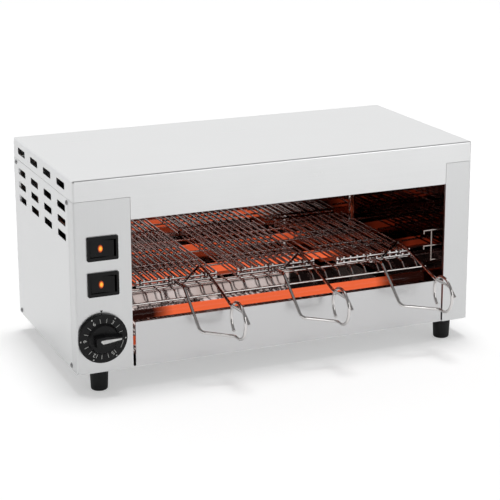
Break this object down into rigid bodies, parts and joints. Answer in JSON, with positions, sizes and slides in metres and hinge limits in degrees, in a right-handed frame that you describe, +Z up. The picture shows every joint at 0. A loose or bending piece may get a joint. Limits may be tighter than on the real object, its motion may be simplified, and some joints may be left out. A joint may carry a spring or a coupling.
{
  "type": "commercial toaster",
  "caption": "Stainless countertop toaster with quartz tube heaters, slide-in wire tongs with ring handles, lit rocker switches, a timer knob and a pull-out crumb tray.",
  "frame": {"origin": "bottom centre of the whole toaster, on the surface it stands on", "axes": "+X to the right seen from the front, +Y to the rear, +Z up"},
  "size_m": [0.4428, 0.2901, 0.218],
  "materials": {
    "case_steel": "satin stainless sheet",
    "chamber_steel": "mirror polished stainless sheet",
    "chrome_wire": "bright plated wire",
    "quartz": "clear quartz lit from inside",
    "heating_wire": "wound resistance wire, glowing",
    "ceramic": "steatite",
    "black_plastic": "satin black",
    "amber_lens": "lit amber",
    "white_plastic": "white inlay",
    "foot_rubber": "matt black",
    "zinc_steel": "zinc plated",
    "bell_metal": "bright",
    "terminal_plastic": "moulded",
    "brass_fittings": "turned",
    "wire_insulation": "silicone sleeve"
  },
  "bodies": {
    "case": {"base_pan": "case_steel", "cable_gland": "black_plastic", "control_panel": "case_steel", "control_wiring": "wire_insulation", "earth_stud": "brass_fittings", "foot_nuts": "zinc_steel", "foot_screws": "zinc_steel", "gland_nut": "black_plastic", "heat_shield": "zinc_steel", "heating_element_lower_front": "heating_wire", "heating_element_lower_rear": "heating_wire", "heating_element_upper_front": "heating_wire", "heating_element_upper_rear": "heating_wire", "left_chamber_wall": "chamber_steel", "left_side_panel": "case_steel", "left_side_screws": "zinc_steel", "lower_switch_housing": "black_plastic", "lower_wire_guard": "chrome_wire", "quartz_tube_lower_front": "quartz", "quartz_tube_lower_rear": "quartz", "quartz_tube_upper_front": "quartz", "quartz_tube_upper_rear": "quartz", "rear_chamber_wall": "chamber_steel", "rear_panel": "case_steel", "rear_screws": "zinc_steel", "right_chamber_wall": "chamber_steel", "right_column": "case_steel", "right_side_panel": "case_steel", "right_side_screws": "zinc_steel", "rubber_feet": "foot_rubber", "side_wire_bracket": "chrome_wire", "terminal_block": "terminal_plastic", "terminal_screws": "brass_fittings", "timer_bell": "bell_metal", "timer_body": "zinc_steel", "timer_screws": "zinc_steel", "top_cover": "case_steel", "tube_end_caps": "ceramic", "tube_link_wires": "wire_insulation", "upper_reflector": "chamber_steel", "upper_switch_housing": "black_plastic", "upper_wire_guard": "chrome_wire"},
    "knob": {"timer_knob": "black_plastic", "knob_pointer": "white_plastic", "timer_shaft": "zinc_steel"},
    "tray": {"crumb_tray": "case_steel"},
    "upper_switch": {"upper_rocker": "black_plastic", "upper_rocker_lens": "amber_lens"},
    "lower_switch": {"lower_rocker": "black_plastic", "lower_rocker_lens": "amber_lens"},
    "left_tong": {"lower_jaw_left": "chrome_wire"},
    "left_tong_jaw": {"upper_jaw_left": "chrome_wire"},
    "middle_tong": {"lower_jaw_middle": "chrome_wire"},
    "middle_tong_jaw": {"upper_jaw_middle": "chrome_wire"},
    "right_tong": {"lower_jaw_right": "chrome_wire"},
    "right_tong_jaw": {"upper_jaw_right": "chrome_wire"}
  },
  "joints": [
    {"name": "timer_turn", "type": "hinge", "parent": "case", "child": "knob", "pos_m": [-0.194, -0.08495, 0.057], "axis": [0, -1, 0], "range_deg": [-216, 95]},
    {"name": "upper_switch_rock", "type": "hinge", "parent": "case", "child": "upper_switch", "pos_m": [-0.1914, -0.08115, 0.1485], "axis": [0, 0, 1], "range_deg": [0, 18]},
    {"name": "lower_switch_rock", "type": "hinge", "parent": "case", "child": "lower_switch", "pos_m": [-0.1914, -0.08115, 0.112], "axis": [0, 0, 1], "range_deg": [0, 18]},
    {"name": "tray_slide", "type": "slide", "parent": "case", "child": "tray", "axis": [0, -1, 0], "range_m": [0, 0.2]},
    {"name": "left_tong_slide", "type": "slide", "parent": "tray", "child": "left_tong", "axis": [0, -1, 0], "range_m": [0, 0.2]},
    {"name": "left_tong_jaw_hinge", "type": "hinge", "parent": "left_tong", "child": "left_tong_jaw", "pos_m": [-0.101, -0.04695, 0.0957], "axis": [1, 0, 0], "range_deg": [0, 13]},
    {"name": "middle_tong_slide", "type": "slide", "parent": "tray", "child": "middle_tong", "axis": [0, -1, 0], "range_m": [0, 0.2]},
    {"name": "middle_tong_jaw_hinge", "type": "hinge", "parent": "middle_tong", "child": "middle_tong_jaw", "pos_m": [0.01, -0.04695, 0.0957], "axis": [1, 0, 0], "range_deg": [0, 13]},
    {"name": "right_tong_slide", "type": "slide", "parent": "tray", "child": "right_tong", "axis": [0, -1, 0], "range_m": [0, 0.2]},
    {"name": "right_tong_jaw_hinge", "type": "hinge", "parent": "right_tong", "child": "right_tong_jaw", "pos_m": [0.121, -0.05395, 0.0957], "axis": [1, 0, 0], "range_deg": [0, 13]}
  ]
}
